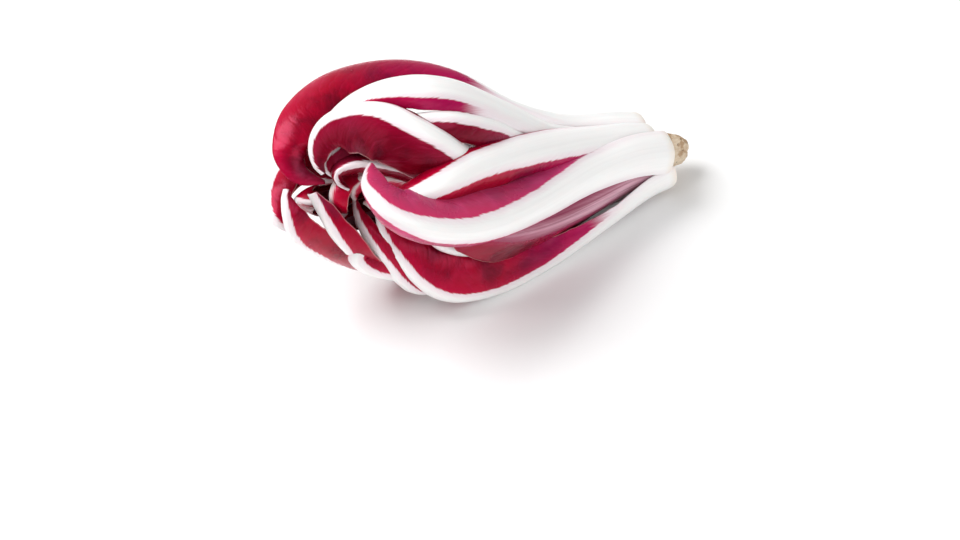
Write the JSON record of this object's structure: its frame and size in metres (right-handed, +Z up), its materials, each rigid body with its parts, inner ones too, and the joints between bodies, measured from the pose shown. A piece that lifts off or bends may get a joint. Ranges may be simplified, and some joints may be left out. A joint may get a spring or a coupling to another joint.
{
  "type": "radicchio head",
  "caption": "Late red Treviso radicchio head lying on its side: long white ribs from a trimmed root, wine-red blades folded in and hooked over at the tips.",
  "frame": {"origin": "centre of the bounding box at the surface the head lies on", "axes": "+X toward the trimmed root, -X toward the leaf tips, -Y the front, +Z up"},
  "size_m": [0.1699, 0.0885, 0.0922],
  "materials": {
    "root": "matt, fibrous cut root",
    "leaf": "waxy satin leaf, white rib and wine-red blade",
    "heart_leaf": "satin pale young leaf"
  },
  "bodies": {
    "root": {"root_stub": "root", "leaf_outer_1": "leaf", "leaf_outer_2": "leaf", "leaf_outer_3": "leaf", "leaf_outer_4": "leaf", "leaf_outer_5": "leaf", "leaf_outer_6": "leaf", "leaf_middle_1": "leaf", "leaf_middle_2": "leaf", "leaf_middle_3": "leaf", "leaf_middle_4": "leaf", "leaf_middle_5": "leaf", "leaf_middle_6": "leaf", "leaf_inner_1": "leaf", "leaf_inner_2": "leaf", "leaf_inner_3": "leaf", "leaf_inner_4": "leaf", "leaf_inner_5": "leaf", "leaf_inner_6": "leaf", "leaf_inner_7": "leaf", "leaf_inner_8": "leaf", "leaf_heart_1": "heart_leaf", "leaf_heart_2": "heart_leaf", "leaf_heart_3": "heart_leaf", "leaf_heart_4": "heart_leaf", "leaf_heart_5": "heart_leaf", "leaf_heart_6": "heart_leaf"}
  },
  "joints": []
}
